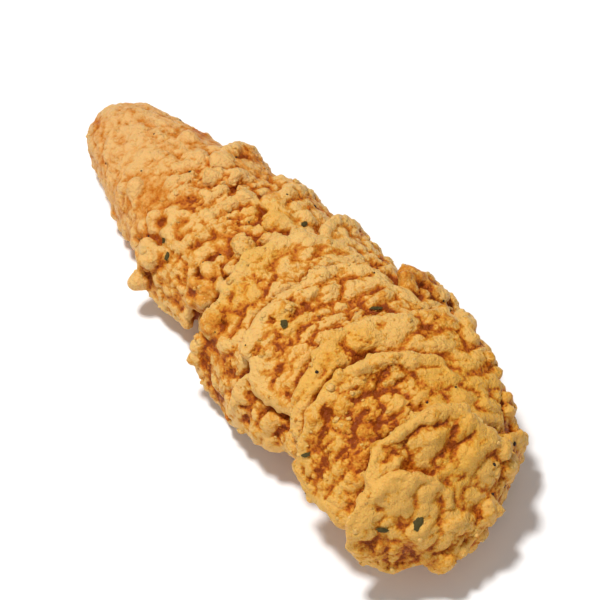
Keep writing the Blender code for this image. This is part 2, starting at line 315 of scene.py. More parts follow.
# Dried herb flakes in the batter: along, around, length, turn
HERBS = (
    (40 * MM, -57, 2.6 * MM, 20),
    (43 * MM, -62, 1.6 * MM, 80),
    (73.6 * MM, -25.6, 2.3 * MM, -60),
    (80 * MM, 5, 2.2 * MM, 10),
    (117 * MM, -58, 2.2 * MM, 120),
    (119.4 * MM, -41, 2.8 * MM, 80),
    (53 * MM, 20, 1.8 * MM, 60),
    (97 * MM, -66, 1.6 * MM, 15),
    (63 * MM, 98, 2.0 * MM, 30),
    (88 * MM, 104, 2.2 * MM, -50),
    (57 * MM, -104, 1.8 * MM, 35),
)
# Their width as a share of their length, how crumpled they are, their thickness and how high they lie
HERB_WIDTH = 0.55
HERB_UNEVENNESS = 0.55
HERB_THICKNESS = 0.5 * MM
HERB_LIFT = 0.12 * MM
# Specks of ground pepper: along, around
PEPPER = (
    (30.6 * MM, 27),
    (29.2 * MM, -8),
    (48.7 * MM, 49),
    (86.9 * MM, -31),
    (102 * MM, 9),
    (117.1 * MM, 20),
    (119 * MM, 52),
    (107.5 * MM, 58),
    (113 * MM, 61),
    (119.9 * MM, 28),
    (124.5 * MM, 53),
)
PEPPER_RADIUS = (0.3 * MM, 0.5 * MM)
PEPPER_WIDTH = (0.6, 1.0)
PEPPER_THICKNESS = (0.5, 0.8)
# The seeded ones: how many, shares of the length, degrees round, and their smaller size
PEPPER_SEED = 5
PEPPER_DRAWS = 46
PEPPER_ALONG = (0.1, 0.98)
PEPPER_AROUND = (-120, 120)
DRAWN_SIZE = 0.6

# How deep the colour of a point is, with painted shade in creases, partly real browning: the value on level
# crust, and the largest
MIDDLE_DEPTH = 0.5
DEEPEST = 1.6
# Hollows of three widths, whose colour is painted shade, partly real browning, and whose peaks are made
# paler, partly as painted highlight: rounds of averaging over the mesh that tell them, and how much each
# counts
HOLLOW_SHADING = ((3, 1.1), (20, 1.05), (70, 0.7))
# How much the painted shade in hollows counts at the tip and at the blunt end, and how much darker the blunt
# end is made as a whole
TIP_GAIN = 0.7
BLUNT_GAIN = 1.6
BLUNT_DEPTH = 0.18
# The blunt end begins at this share of this length, and is whole one such length further on
BLUNT_START = 0.5
BLUNT_FROM = 50 * MM
# Painted shade in the seams between beads: what seams add, and their share of that on calm crust
SEAM_SHADE = 0.2
SEAM_LEVEL = 0.3
CALM_SEAMS = 0.5
# Painted shade that darkens the flanks: what they add, from this share of this many degrees on
FLANK_SHADE = 0.2
FLANK_START = 0.6
FLANK_TURN = 45
# Where the tip's colour ends, and the shares of that length over which the blunt end's comes in
PALE_END = 80 * MM
END_START = 0.9
END_SPAN = 0.4

# Radius of the tender that turns degrees round it into a length, for the patches below
PATCH_GIRTH = 15 * MM
# How calm a fold's upper face is, and how steeply a calm patch comes in from its edge
UPPER_CALM = 0.4
PATCH_GAIN = 2
# Patches of calm crust, with few crumbs and low relief: along, around, radius
SMOOTH_PATCHES = (
    (60 * MM, 2, 7 * MM),
    (61 * MM, 50, 8 * MM),
    (90 * MM, 14, 7 * MM),
    (102 * MM, 22, 9 * MM),
    (107 * MM, 44, 8 * MM),
    (113 * MM, 60, 6 * MM),
    (117 * MM, -8, 11 * MM),
    (119 * MM, 22, 9 * MM),
    (119 * MM, -46, 11 * MM),
)
# Patches of the crust that differ in colour: along, around, radius
PATCHES = {
    "yellow": (
        (58 * MM, -16, 6 * MM),
        (63 * MM, -45, 6 * MM),
        (75 * MM, -30, 5 * MM),
        (88 * MM, -38, 7 * MM),
        (87 * MM, -16, 6 * MM),
        (103 * MM, 26, 9 * MM),
        (107 * MM, 46, 8 * MM),
        (114 * MM, 62, 6 * MM),
        (116 * MM, 12, 8 * MM),
        (49 * MM, 20, 6 * MM),
    ),
    "pale": (
        (19 * MM, -25, 9 * MM),
        (31 * MM, 8, 9 * MM),
        (42 * MM, -4, 9 * MM),
        (90 * MM, 12, 6 * MM),
        (95 * MM, 31, 6 * MM),
        # On the smooth end cap: painted highlight, partly real paleness
        (118 * MM, -44, 9 * MM),
        (119 * MM, 36, 7 * MM),
        (60 * MM, 50, 8 * MM),
        (72 * MM, 8, 8 * MM),
        (49 * MM, 45, 6 * MM),
    ),
    "red": (
        (106 * MM, -50, 6 * MM),
        (103 * MM, -32, 5 * MM),
        (99 * MM, -41, 5 * MM),
        (88 * MM, 37, 5 * MM),
        (98 * MM, -54, 5 * MM),
        (64 * MM, -63, 5 * MM),
        (55 * MM, -64, 5 * MM),
        (37 * MM, -19, 4 * MM),
        (46 * MM, 41, 4 * MM),
        (31 * MM, 61, 4 * MM),
        (122 * MM, -63, 7 * MM),
        (125 * MM, -80, 8 * MM),
        (7 * MM, 14, 4 * MM),
        (4 * MM, -50, 7 * MM),
        (19 * MM, 63, 5 * MM),
        (77 * MM, 58, 5 * MM),
        (81 * MM, 20, 4 * MM),
    ),
}

# Colours of the crust from its peaks to its deepest creases, as linear red, green and blue: the paler ones on
# peaks partly painted highlight, the deeper ones in creases painted shade, partly real browning
PALE = (0.80, 0.475, 0.145)
GOLD = (0.71, 0.312, 0.04)
AMBER = (0.59, 0.187, 0.010)
RUSSET = (0.47, 0.10, 0.002)
DARK = (0.24, 0.038, 0.001)
YELLOW = (0.76, 0.37, 0.03)
TAN = (0.75, 0.41, 0.17)
HERB_COLOUR = (0.07, 0.052, 0.012)
PEPPER_COLOUR = (0.035, 0.018, 0.010)
HERB_ROUGHNESS = 0.7
PEPPER_ROUGHNESS = 0.6

# Noises that mottle the crust, from coarse to fine: size, and weight in the depth of its colour
SPOTS = ((8 * MM, 0.9), (3.2 * MM, 1.3), (1.5 * MM, 1.9), (0.55 * MM, 1.4))
NOISE_DETAIL = 3
NOISE_ROUGHNESS = 0.6
# Contrast of the mottling, and how much of it the tip takes off
CONTRAST = 1.15
TIP_CONTRAST = 0.5
# How much each value stored on the crust deepens its colour; lips and calm crust are made paler, partly as
# painted highlight
DEPTH_WEIGHTS = {"tone": 0.05, "pale": -0.42, "red": 0.7, "lip": -0.35, "tip": -0.15, "calm": -0.3}
# Colours laid over the pale one: each with the value that brings it in, from where to where, and how far
LAYERS = (
    (GOLD, "depth", -0.05, 0.4, 1.0),
    (YELLOW, "end", 0.0, 1.0, 0.45),
    (YELLOW, "yellow", 0.0, 0.6, 0.42),
    (TAN, "tip", 0.3, 0.9, 0.5),
    # Amber, russet and dark: painted shade in creases, partly real browning
    (AMBER, "depth", 0.28, 0.92, 0.95),
    (RUSSET, "depth", 0.76, 1.3, 0.85),
    (DARK, "depth", 1.1, 1.6, 0.85),
)
# The crust's roughness, what freckles add to it and what calm crust takes off: from, to, how much
ROUGHNESS = 0.36
DRY_FRECKLES = (0.3, 0.7, 0.22)
CALM_GLOSS = (0.0, 1.0, 0.1)
IOR = 1.45
SPECULAR = 0.2
SUBSURFACE = 0.25
SUBSURFACE_RADIUS = (2.0, 0.8, 0.3)
SUBSURFACE_SCALE = 0.6 * MM
FRECKLE_BUMP = 0.8 * MM
GRAIN_BUMP = 0.35 * MM

# The photograph's viewing angle in degrees, and the distance, lens, nearest view and height of aim
CAMERA_AZIMUTH = 57.2
CAMERA_ELEVATION = 54.0
CAMERA_DISTANCE = 0.786
CAMERA_LENS = 250
CAMERA_CLIP = 0.01
AIM_HEIGHT = 0.012

# Soft lights: name, place, side in metres, power in watts
LIGHTS = (
    ("key", (-0.22, -0.15, 0.96), 0.14, 8.8),
    ("fill", (0.8, -0.6, 0.5), 0.8, 2.4),
)
SKY_STRENGTH = 0.25
FLOOR_SIZE = 6
FLOOR_GAP = 0.05 * MM
FLOOR_COLOUR = (0.97, 0.97, 0.97)
FLOOR_ROUGHNESS = 0.9


def smooth(t):
    t = min(1.0, max(0.0, t))
    return t * t * (3 - 2 * t)


def mix(a, b, t):
    return a + (b - a) * t


def section_at(x):
    """Half width, thickness and bow of the strip at this X, blended from one section to the next."""
    shares = x / LENGTH + 0.5 + SECTION_BLEND * np.linspace(-1, 1, SECTION_SAMPLES)
    places, *columns = zip(*SECTIONS)
    return [float(np.interp(shares, places, column).mean()) for column in columns]


STATIONS = np.linspace(-STATION_REACH, STATION_REACH, STATION_COUNT) * LENGTH
STATION_SECTIONS = np.array([section_at(x) for x in STATIONS])


def end_rounding(x):
    """1 along the middle, falling as a circle does over the last stretch at each end."""
    to_tip = (x + LENGTH / 2) / TIP_ROUND
    to_blunt = (LENGTH / 2 - x) / BLUNT_ROUND
    short = 1 - min(1.0, max(0.0, min(to_tip, to_blunt)))
    return math.sqrt(max(0.0, 1 - short * short))


def signed_power(value, power):
    return math.copysign(abs(value) ** power, value)


def strip_point(x, turn):
    """The point of the strip's skin at this X and this turn round from the top, in radians."""
    half_width, thickness, bow = section_at(x)
    size = end_rounding(x)
    y = half_width * size * signed_power(math.sin(turn), 2 / SECTION_POWER)
    z = 0.5 * thickness * size * signed_power(math.cos(turn), 2 / SECTION_POWER)
    return Vector((x, bow + y, 0.5 * thickness + z - SINK))


def skin_spot(along, around):
    return strip_point(along - LENGTH / 2, math.radians(around))


class Pile:
    """Closed shapes gathered into one mesh. Where they overlap, a remesh keeps only their outer skin.

    Each face has two marks: how much it is the smooth upper face of a fold, and how much it is a lip.
    """

    def __init__(self):
        self.points = []
        self.faces = []
        self.marks = []

    def add(self, points, faces, marks=None):
        start = len(self.points)
        self.points.extend(points)
        self.faces.extend([[start + i for i in face] for face in faces])
        self.marks.extend(marks or [(0.0, 0.0)] * len(faces))

    def mesh(self, name):
        mesh = bpy.data.meshes.new(name)
        mesh.from_pydata(self.points, [], self.faces)
        mesh.update()
        return mesh


def ball(subdivisions):
    """The points and faces of a ball of radius 1."""
    bm = bmesh.new()
    bmesh.ops.create_icosphere(bm, subdivisions=subdivisions, radius=1)
    bm.verts.index_update()
    points = [vert.co.copy() for vert in bm.verts]
    faces = [[vert.index for vert in face.verts] for face in bm.faces]
    bm.free()
    return points, faces


BALLS = {size: ball(size) for size in (SPECK_BALL, CRUMB_BALL, LUMP_BALL, FOLD_BALL, STRIP_BALL)}


def make_strip():
    """The strip of meat: a ball whose poles are the tip and the blunt end, drawn out to the sections."""
    points, faces = BALLS[STRIP_BALL]
    drawn = [strip_point(0.5 * LENGTH * unit.z, math.atan2(unit.y, -unit.x)) for unit in points]
    strip = Pile()
    strip.add(drawn, faces)
    return strip


def surface_of(piles):
    """The skin of these piles, to be asked for its nearest point and the direction that it faces there."""
    whole = Pile()
    for pile in piles:
        whole.add(pile.points, pile.faces)
    return BVHTree.FromPolygons(whole.points, whole.faces)


def walk(surface, spot, normal, way):
    """Follows the skin straight on from a spot, for the length of way: where that ends, and facing where."""
    for _ in range(WALK_STEPS):
        way = (way - normal * way.dot(normal)).normalized() * way.length
        spot, normal, _, _ = surface.find_nearest(spot + way / WALK_STEPS)
    return spot, normal


def lay_on(surface, spot, heading):
    """A function that lays flat coordinates on the skin here: where p ahead and q to the side lies."""
    spot, normal, _, _ = surface.find_nearest(spot)
    turn = math.radians(heading)
    tipward = Vector((-1, 0, 0))
    tipward = (tipward - normal * tipward.dot(normal)).normalized()
    to_side = tipward.cross(normal)
    ahead = tipward * math.cos(turn) + to_side * math.sin(turn)
    side = ahead.cross(normal)

    def place(p, q):
        return walk(surface, spot, normal, ahead * p + side * q)

    return place


def noise_shift(seed, steps):
    """Where in the noise the piece with this seed takes its form from."""
    return Vector([seed * step for step in steps])


def add_crumb(lay, centre, radii, seed, pile, fine=CRUMB_BALL, marks=(0.0, 0.0), uneven=UNEVENNESS):
    """A rough lump laid on the skin: centre is its place and its lift, radii its three half sizes."""
    units, faces = BALLS[fine]
    shift = noise_shift(seed, CRUMB_STEPS)
    points = []
    for unit in units:
        wave = noise.noise(unit * CRUMB_WAVES + shift)
        ripple = noise.noise(unit * CRUMB_RIPPLES + shift)
        bulge = 1 + uneven * (wave + RIPPLE_SHARE * ripple)
        points.append(lay(*[c + u * r * bulge for c, u, r in zip(centre, unit, radii)]))
    pile.add(points, faces, [marks] * len(faces))


def add_knob(lay, radius, seed, pile):
    """A lump that stands out, with smaller ones grown over it."""
    draw = random.Random(seed)
    shape = [radius * share for share in KNOB_SHAPE]
    add_crumb(lay, (0, 0, KNOB_LIFT * radius), shape, seed, pile, LUMP_BALL)
    for i in range(KNOB_BUDS):
        turn = draw.uniform(-math.pi, math.pi)
        out = draw.uniform(*BUD_OUT)
        lift = BUD_FOOT + BUD_DOME * math.sqrt(1 - out * out)
        centre = [radius * c for c in (out * math.cos(turn), out * math.sin(turn), lift)]
        bud = radius * draw.uniform(*BUD_RADIUS)
        add_crumb(lay, centre, (bud, bud, bud), SEED_STRIDE * seed + i, pile)


def scallop(turn, shift):
    """How far the edge of a fold goes out at this turn, as a share of its plain ellipse."""
    circle = Vector((math.cos(turn), math.sin(turn), 0))
    edge = 1
    for depth, fineness in SCALLOPS:
        edge += depth * noise.noise(circle * fineness + shift)
    return edge


def fold_height(unit, height):
    """Height of a fold's skin: a thick rim along the lip with a dip behind it, sinking away at the tail."""
    lip = height * mix(TAIL_SHARE, 1.0, smooth(0.5 * (unit.x + 1)))
    if unit.z < 0:
        return mix(RIM_FOOT * lip, -ROOT_DEPTH, abs(unit.z) ** ROOT_POWER)
    rise = min(1.0, unit.z / RIM_TOP) ** RIM_POWER
    dip = smooth((unit.z - DIP_FROM) / DIP_SPAN)
    return lip * (mix(RIM_FOOT, 1.0, rise) - DIP_SHARE * dip)


def fold_marks(units, face):
    """How much a face of a fold is its smooth upper face, and how much its lip."""
    middle = sum((units[i] for i in face), Vector()) / len(face)
    upper = smooth((middle.z - RIM_LEVEL) / UPPER_SPAN)
    lip = smooth(1 - abs(middle.z - RIM_LEVEL) / LIP_SPREAD) * smooth(LIP_TAIL + middle.x)
    return upper, lip


def make_fold(place, reach, half_width, height, shift):
    """A tongue of batter laid on the skin."""
    units, faces = BALLS[FOLD_BALL]
    points = []
    for unit in units:
        edge = scallop(math.atan2(unit.y, unit.x), shift)
        wave = FOLD_WAVE_SHARE * height * noise.noise(unit * FOLD_WAVES + shift)
        foot, outward = place(unit.x * reach * edge, unit.y * half_width * edge)
        points.append(foot + outward * (fold_height(unit, height) + wave))
    fold = Pile()
    fold.add(points, faces, [fold_marks(units, face) for face in faces])
    return fold


def add_beads(place, reach, half_width, height, shift, seed, pile):
    """The row of small crumbs that the lip of a fold breaks into."""
    draw = random.Random(seed)
    lip_length = math.radians(2 * BEADED_ARC) * 0.5 * (reach + half_width)
    beads = int(lip_length / BEAD_SPACING)
    for i in range(beads):
        share = (i + draw.uniform(*BEAD_PLACE)) / beads
        turn = math.radians(mix(-BEADED_ARC, BEADED_ARC, share))
        edge = scallop(turn, shift) * draw.uniform(*BEAD_EDGE)
        lip = height * smooth(0.5 * (math.cos(turn) + 1))
        foot, outward = place(reach * edge * math.cos(turn), half_width * edge * math.sin(turn))
        radius = mix(*BEAD_RADIUS, draw.random() ** BEAD_SIZE_POWER)
        radii = (radius, radius * draw.uniform(*BEAD_WIDTH), radius * draw.uniform(*BEAD_HEIGHT))
        lay = stand_on(foot, outward, draw.uniform(-math.pi, math.pi))
        centre = (0, 0, draw.uniform(*BEAD_LIFT) * lip)
        add_crumb(lay, centre, radii, SEED_STRIDE * seed + i, pile, marks=(0.0, 1.0))


def on_a_fold(spot):
    """True over the upper face of a fold, which is smoother than the crust around it."""
    for along, around, reach, half_width, _, _ in FOLDS:
        if (spot - skin_spot(along, around)).length < min(reach, half_width):
            return True
    return False


def stand_on(spot, normal, heading):
    """A function that sets flat coordinates out from a spot that faces along this normal."""
    ahead = normal.orthogonal().normalized()
    ahead.rotate(Quaternion(normal, heading))
    side = ahead.cross(normal)
    return lambda p, q, h: spot + ahead * p + side * q + normal * h


def flank_share(around):
    """0 along the top, rising to 1 on the flanks."""
    return smooth((abs(around) - FLANK_FROM) / FLANK_SPAN)


def crumb_chance(spot, folded):
    """How likely a crumb is at a spot: less so towards the tip, on a fold and in a smooth patch."""
    along, around = place_on_strip(spot)
    chance = smooth(along / SMOOTH_TIP - TIP_START) * mix(TOP_SHARE, 1.0, flank_share(around))
    chance *= FOLD_SHARE if folded else 1.0
    return chance * (1 - smooth(PATCH_GAIN * patch_share(np.array([spot]), SMOOTH_PATCHES)[0]))


def crumb_radius(draw, flank, folded, normal):
    """A seeded radius: larger along the top, smaller on a fold and underneath."""
    radius = mix(*CRUMB_RADIUS, draw.random() ** CRUMB_SIZE_POWER) * mix(TOP_SIZE, 1.0, flank)
    radius *= FOLD_SIZE if folded else 1.0
    return radius * mix(1.0, UNDERSIDE_SIZE, smooth(-normal.z))


def scatter_crumbs(strip, folds, pile):
    """Seeded crumbs all round the strip and on its folds, packed on the flanks and low along the top."""
    draw = random.Random(SEED)
    crust = surface_of([strip, *folds])
    mesh = strip.mesh("strip")
    faces = list(mesh.polygons)
    areas = [face.area for face in faces]
    spacing = Spacing(3 * CRUMB_RADIUS[1])
    count = 0
    for face in draw.choices(faces, areas, k=CRUMB_DRAWS):
        normal = face.normal.copy()
        spot = crust.ray_cast(face.center + normal * CRUST_REACH, -normal)[0]
        folded = on_a_fold(face.center)
        flank = flank_share(place_on_strip(spot)[1])
        radius = crumb_radius(draw, flank, folded, normal)
        heading = draw.uniform(-math.pi, math.pi)
        radii = [radius * draw.uniform(*spread) for spread in CRUMB_SPREADS]
        lift = radius * mix(TOP_LIFT, draw.uniform(*CRUMB_LIFT), FOLD_LIFT if folded else flank)
        if draw.random() > crumb_chance(spot, folded) or spacing.crowded(spot, radius, CRUMB_GAP):
            continue
        spacing.take(spot, radius)
        count += 1
        lay = stand_on(spot, normal, heading)
        add_crumb(lay, (0, 0, lift), radii, CRUMB_SEED + count, pile)
    bpy.data.meshes.remove(mesh)


def build_form():
    """The strip with its folds, lumps and crumbs, as overlapping shapes in one pile."""
    strip = make_strip()
    surface = surface_of([strip])
    form = Pile()
    form.add(strip.points, strip.faces)
    folds = []
    for seed, (along, around, reach, half_width, height, heading) in enumerate(FOLDS):
        place = lay_on(surface, skin_spot(along, around), heading)
        shift = noise_shift(seed, FOLD_STEPS)
        fold = make_fold(place, reach, half_width, height, shift)
        form.add(fold.points, fold.faces, fold.marks)
        add_beads(place, reach, half_width, height, shift, seed, form)
        folds.append(fold)
    for seed, (along, around, radius) in enumerate(LUMPS):
        spot, normal, _, _ = surface.find_nearest(skin_spot(along, around))
        add_knob(stand_on(spot, normal, seed), radius, KNOB_SEED + seed, form)
    scatter_crumbs(strip, folds, form)
    return form


def changed(mesh, name, kind, **settings):
    """A new mesh: this one after one modifier."""
    obj = bpy.data.objects.new(name, mesh)
    bpy.context.scene.collection.objects.link(obj)
    modifier = obj.modifiers.new(name, kind)
    for key, value in settings.items():
        setattr(modifier, key, value)
    graph = bpy.context.evaluated_depsgraph_get()
    made = bpy.data.meshes.new_from_object(obj.evaluated_get(graph))
    bpy.data.objects.remove(obj, do_unlink=True)
    bpy.data.meshes.remove(mesh)
    return made


def rows_of(items, name, width, kind=np.float32):
    """One value of each of a mesh's items, as rows of this width."""
    values = np.empty(len(items) * width, kind)
    items.foreach_get(name, values)
    return values.reshape(-1, width)


def points_of(mesh):
    return rows_of(mesh.vertices, "co", 3).astype(float)


def normals_of(mesh):
    return rows_of(mesh.vertex_normals, "vector", 3).astype(float)


def edges_of(mesh):
    return rows_of(mesh.edges, "vertices", 2, np.int32)


def move_points(mesh, points):
    mesh.vertices.foreach_set("co", points.ravel())
    mesh.update()


def averaged(values, ends, rounds):
    """Values at the points of a mesh, each replaced by its neighbours' mean, this many times."""
    count = len(values)
    near = np.bincount(ends.ravel(), minlength=count)
    for _ in range(rounds):
        total = np.empty_like(values)
        for axis in range(values.shape[1]):
            column = values[:, axis]
            total[:, axis] = np.bincount(ends[:, 0], column[ends[:, 1]], count)
            total[:, axis] += np.bincount(ends[:, 1], column[ends[:, 0]], count)
        values = total / near[:, None]
    return values


def places_on_strip(points):
    """How far along the strip each point lies, and how many degrees round it from the top."""
    thickness = np.interp(points[:, 0], STATIONS, STATION_SECTIONS[:, 1])
    bow = np.interp(points[:, 0], STATIONS, STATION_SECTIONS[:, 2])
    around = np.degrees(np.arctan2(points[:, 1] - bow, points[:, 2] - 0.5 * thickness + SINK))
    return points[:, 0] + LENGTH / 2, around


def place_on_strip(spot):
    along, around = places_on_strip(np.array([spot]))
    return float(along[0]), float(around[0])


def marks_at(points, pile):
    """The marks of the source face that lies nearest to each point."""
    tree = BVHTree.FromPolygons(pile.points, pile.faces)
    nearest = [tree.find_nearest(Vector(point))[2] for point in points]
    return np.array(pile.marks)[nearest]


class Spacing:
    """Remembers what has been placed where, so that the next piece can keep its distance."""

    def __init__(self, cell):
        self.cell = cell
        self.boxes = {}

    def key(self, spot):
        return tuple(math.floor(c / self.cell) for c in spot)

    def crowded(self, spot, radius, gap):
        i, j, k = self.key(spot)
        for a in (i - 1, i, i + 1):
            for b in (j - 1, j, j + 1):
                for c in (k - 1, k, k + 1):
                    for other, size in self.boxes.get((a, b, c), ()):
                        if (spot - other).length < gap * (radius + size):
                            return True
        return False

    def take(self, spot, radius):
        self.boxes.setdefault(self.key(spot), []).append((spot, radius))


def bead(co, size, drift):
    """The bead that a point lies in: its height there, how near the seam round it is, and its tone."""
    wandered = co / (DRIFT_SIZE * size)
    away = Vector([noise.noise(wandered + Vector((DRIFT_STEP * axis, 0, 0))) for axis in range(3)])
    distances, middles = noise.voronoi((co + away * drift) / size)
    dome = math.sqrt(max(0.0, 1 - (distances[0] / DOME_REACH) ** 2))
    return np.array((dome, 1 - smooth((distances[1] - distances[0]) / SEAM_WIDTH), noise.cell(middles[0])))


def puffs(co, calm):
    """Height of the puffy lumps at a point, how near it is to a crease between them, and a tone."""
    height, crease, share, size = 0.0, 0.0, 1.0, PUFF_SIZE
    for octave in range(PUFF_OCTAVES):
        value = abs(noise.noise(co / size + Vector((0, 0, OCTAVE_STEP * octave))))
        height += share * (2 * value) ** PUFF_POWER
        crease = max(crease, share * (1 - smooth(value / PUFF_CREASE)))
        share *= mix(PUFF_KEEP, CALM_KEEP, calm)
        size /= PUFF_SHRINK
    return np.array((0.5 * height, crease, 0.5 + noise.noise(co / CLUSTER_SIZE)))


def beads_at(co):
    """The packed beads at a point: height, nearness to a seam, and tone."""
    coarse = smooth(0.5 + CLUSTER_EDGE * noise.noise(co / CLUSTER_SIZE))
    beads = mix(bead(co, *FINE_BEADS[1:]), bead(co, *COARSE_BEADS[1:]), coarse)
    beads[0] = mix(FINE_BEADS[0], COARSE_BEADS[0], coarse) * (beads[0] - BEAD_LEVEL)
    return beads


def lumps_at(co, tip, calm):
    """The puffy lumps at a point, stretched but at the tip: height, nearness to a crease, and tone."""
    lumps = puffs(Vector([c * stretch for c, stretch in zip(co, PUFF_STRETCH)]), calm)
    if tip > 0:
        lumps = mix(lumps, puffs(co, calm), tip)
    lumps[0] = PUFF_HEIGHT * (lumps[0] - mix(PUFF_LEVEL, CALM_LEVEL, calm))
    return lumps


def relief_at(co, upper, flank, tip, calm):
    """The relief at a point of the skin: height, nearness to a seam, and tone."""
    clusters = noise.noise(co / CLUSTER_SIZE + CLUSTER_SHIFT)
    beaded = smooth(BEADED_BASE + flank - BEADED_UPPER * upper + BEADED_CLUSTERS * clusters)
    return mix(lumps_at(co, tip, calm), beads_at(co), beaded * (1 - tip) * (1 - calm))


def reliefs(points, marks, calm):
    """The relief at each of these points, as rows of height, seam and tone."""
    _, around = places_on_strip(points)
    flanks = np.clip((abs(around) - BEADED_FROM) / BEADED_SPAN, 0, 1)
    rows = zip(points, marks[:, 0], flanks, tip_share(points), calm)
    return np.array([relief_at(Vector(point), *how) for point, *how in rows])


def tip_share(points):
    """1 at the soft, plain tip, falling to 0 a little way along."""
    return np.clip(TIP_REACH - places_on_strip(points)[0] / SOFT_TIP, 0, 1)


def carve(mesh, form):
    """Moves the skin's points out and in by the relief, and deepens its valleys."""
    ends = edges_of(mesh)
    points = averaged(points_of(mesh), ends, SKIN_ROUNDS)
    outward = averaged(normals_of(mesh), ends, NORMAL_ROUNDS)
    outward /= np.linalg.norm(outward, axis=1)[:, None]
    marks = averaged(marks_at(points, form), ends, CARVED_MARK_ROUNDS)
    calm = calm_share(points, marks)
    heights = reliefs(points, marks, calm)[:, 0]
    heights *= mix(1, CALM_RELIEF, calm)
    heights *= mix(1, TIP_RELIEF, tip_share(points))
    heights *= mix(1, LIP_RELIEF, marks[:, 1])
    valley = np.clip((hollow(points, outward, ends, VALLEY_ROUNDS) - VALLEY_FROM) / VALLEY_SPAN, 0, 1)
    heights -= VALLEY_CUT * valley
    move_points(mesh, points + outward * heights[:, None])


def calm_share(points, marks):
    """How smooth the crust is at each point, from 0 to 1."""
    patches = np.minimum(1, PATCH_GAIN * patch_share(points, SMOOTH_PATCHES))
    return np.maximum(UPPER_CALM * marks[:, 0], patches)


def settle(mesh):
    """Presses the underside flat where the tender rests, and brings the skin into the solid's box."""
    points = points_of(mesh)
    low, high = (np.array(corner) for corner in CAD_BOX)
    middle = 0.5 * (points.min(axis=0) + points.max(axis=0))
    points[:, :2] += (0.5 * (low + high) - middle)[:2]
    points[:, 2] = np.maximum(points[:, 2], 0)
    reach = np.maximum(points.max(axis=0) / high, 1)
    move_points(mesh, points / reach)


def hollow(points, normals, ends, rounds):
    """How deep each point lies in a hollow, in millimetres: negative on a peak."""
    return ((averaged(points, ends, rounds) - points) * normals).sum(axis=1) / MM


def patch_share(points, patches):
    """How much each point lies in one of these patches, from 0 to 1, however high it stands."""
    share = np.zeros(len(points))
    alongs, arounds = places_on_strip(points)
    for along, around, radius in patches:
        turn = np.radians((arounds - around + 180) % 360 - 180)
        away = np.hypot(alongs - along, turn * PATCH_GIRTH)
        share = np.maximum(share, 1 - np.clip(away / radius, 0, 1))
    return share


def keep_value(mesh, name, values):
    """Stores one number at each point of a mesh, for its material."""
    layer = mesh.attributes.new(name, "FLOAT", "POINT")
    layer.data.foreach_set("value", values.astype(np.float32))


def crease_shade_depth(mesh, seams, calm):
    """How deep the crust's colour is: painted shade in creases (partly real browning), seams and flanks, with
    peaks paler, partly as painted highlight; creases count for more towards the blunt end, which is darker as
    a whole.
    """
    points, normals, ends = points_of(mesh), normals_of(mesh), edges_of(mesh)
    along, around = places_on_strip(points)
    depth = MIDDLE_DEPTH + SEAM_SHADE * (seams - SEAM_LEVEL) * mix(1, CALM_SEAMS, calm)
    depth += FLANK_SHADE * np.clip(abs(around) / FLANK_TURN - FLANK_START, 0, 1)
    blunt = np.clip(along / BLUNT_FROM - BLUNT_START, 0, 1)
    depth += BLUNT_DEPTH * blunt
    gain = mix(TIP_GAIN, BLUNT_GAIN, blunt)
    for rounds, weight in HOLLOW_SHADING:
        depth += gain * weight * hollow(points, normals, ends, rounds)
    return np.clip(depth, 0.0, DEEPEST)


def describe_skin(mesh, form):
    """Stores what the material needs to know: creases and their painted shade, calm parts, tones, lips,
    patches and both ends.
    """
    points = points_of(mesh)
    marks = averaged(marks_at(points, form), edges_of(mesh), CRUST_MARK_ROUNDS)
    calm = calm_share(points, marks)
    _, seams, tones = reliefs(points, marks, calm).T
    along, _ = places_on_strip(points)
    keep_value(mesh, "calm", calm)
    # The depth: painted shade in creases, seams and flanks, partly real browning, and paler peaks, partly as
    # painted highlight
    keep_value(mesh, "depth", crease_shade_depth(mesh, seams, calm))
    keep_value(mesh, "tone", tones)
    keep_value(mesh, "lip", marks[:, 1])
    for name, patches in PATCHES.items():
        keep_value(mesh, name, patch_share(points, patches))
    keep_value(mesh, "tip", 1 - np.clip(along / PALE_END, 0, 1))
    keep_value(mesh, "end", np.clip(along / PALE_END - END_START, 0, END_SPAN) / END_SPAN)


def kept_value(mesh, name):
    return rows_of(mesh.attributes[name].data, "value", 1)[:, 0]


def make_crust():
    """The whole form under one skin, carved with the finer relief."""
    form = build_form()
    skin = changed(form.mesh("form"), "skin", "REMESH", mode="VOXEL", voxel_size=VOXEL)
    carve(skin, form)
    share = CRUST_TRIANGLES / (2 * len(skin.polygons))
    skin = changed(skin, "crust", "DECIMATE", ratio=min(1.0, share))
    describe_skin(skin, form)
    settle(skin)
    skin.shade_smooth()
    return piece_from(skin, "crust")


def piece_from(mesh, name):
    piece = bpy.data.objects.new(name, mesh)
    bpy.context.scene.collection.objects.link(piece)
    return piece


def grain_chance(spot, depth, calm, tip, lip):
    """How likely a grain is: in clusters, in creases and on lips, less so on calm crust and at the tip."""
    crowd = smooth(CROWD_BASE + CROWD_EDGE * noise.noise(spot / GRAIN_CLUSTER))
    chance = crowd * mix(1, CALM_GRAINS, smooth(CALM_EDGE * calm))
    chance *= mix(1, TIP_GRAINS, smooth(TIP_EDGE * tip - 0.5))
    chance *= smooth(PEAK_GRAINS + CREASE_EDGE * depth)
    chance += LIP_GRAINS * lip
    return chance * smooth(spot.z / GRAIN_FLOOR - 1)


def draw_grain(draw, least, most):
    """A seeded grain: its radius, its three half sizes, heading, lift and tone."""
    radius = mix(least, most, draw.random() ** GRAIN_SIZE_POWER)
    radii = [radius * draw.uniform(*spread) for spread in GRAIN_SPREADS]
    heading = draw.uniform(-math.pi, math.pi)
    return radius, radii, heading, radius * draw.uniform(*GRAIN_LIFT), draw.uniform(*GRAIN_TONE)


